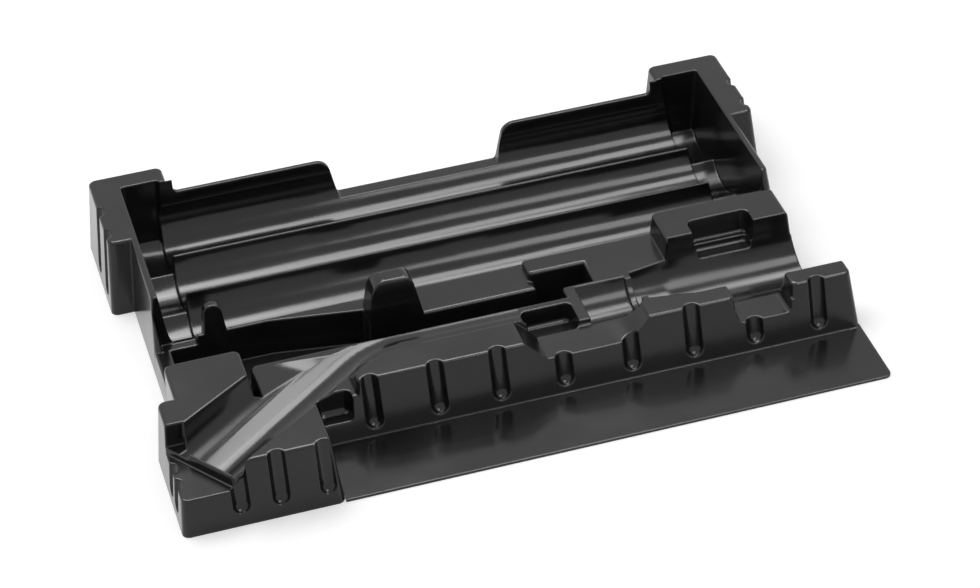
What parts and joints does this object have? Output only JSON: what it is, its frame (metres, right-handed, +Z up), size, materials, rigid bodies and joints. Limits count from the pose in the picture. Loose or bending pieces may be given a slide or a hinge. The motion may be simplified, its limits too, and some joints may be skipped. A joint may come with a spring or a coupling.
{
  "type": "thermoformed tray",
  "caption": "Black thermoformed plastic insert tray with parallel rod troughs, shaped tool pockets, fluted walls and a flat front flange.",
  "frame": {"origin": "middle of the footprint, on the surface that the tray rests on", "axes": "+X along the long side, +Y from the flange towards the back wall, +Z up out of the troughs"},
  "size_m": [0.38, 0.269, 0.045],
  "materials": {
    "tray_plastic": "black drawn sheet, smooth, semi-gloss"
  },
  "bodies": {
    "root": {"tray": "tray_plastic"}
  },
  "joints": []
}
